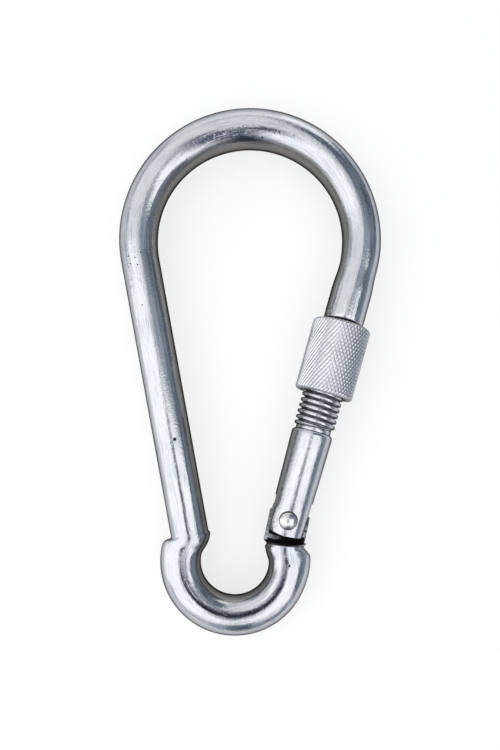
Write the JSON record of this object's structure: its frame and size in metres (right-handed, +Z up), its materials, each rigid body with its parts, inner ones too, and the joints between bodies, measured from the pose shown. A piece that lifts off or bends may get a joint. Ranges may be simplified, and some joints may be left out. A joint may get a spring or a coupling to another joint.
{
  "type": "screw gate carabiner",
  "caption": "Pear-shaped snap hook of bent steel rod with a sprung, hinged gate that a knurled screw sleeve locks over the nose.",
  "frame": {"origin": "middle of the outline, on the surface that the hook lies on", "axes": "+X across the hook towards the gate side, +Y along it towards the big bow, +Z up from the surface it lies on"},
  "size_m": [0.0896, 0.18, 0.02],
  "materials": {
    "hook_zinc": "gloss",
    "gate_zinc": "gloss",
    "rivet_steel": "polished",
    "spring_steel": "satin",
    "plunger_steel": "satin",
    "sleeve_zinc": "satin"
  },
  "bodies": {
    "hook": {"hook_body": "hook_zinc"},
    "gate": {"gate": "gate_zinc", "hinge_rivet": "rivet_steel", "gate_spring": "spring_steel"},
    "plunger": {"spring_plunger": "plunger_steel"},
    "sleeve": {"lock_sleeve": "sleeve_zinc"}
  },
  "joints": [
    {"name": "gate_hinge", "type": "hinge", "parent": "hook", "child": "gate", "pos_m": [0.01282, -0.05009, 0.01], "axis": [0, 0, 1], "range_deg": [0, 33], "stiffness_Nm_per_rad": 0.3, "springref_deg": -45.84},
    {"name": "plunger_slide", "type": "slide", "parent": "gate", "child": "plunger", "axis": [0.2671, 0.9637, 0], "range_m": [0, 0.0004], "deforming": ["gate_spring"]},
    {"name": "sleeve_slide", "type": "slide", "parent": "gate", "child": "sleeve", "axis": [0.2671, 0.9637, 0], "range_m": [-0.012, 0.008]}
  ],
  "couplings": [
    {"joint": "plunger_slide", "follows": "gate_hinge", "m_per_rad": 0.000673}
  ]
}
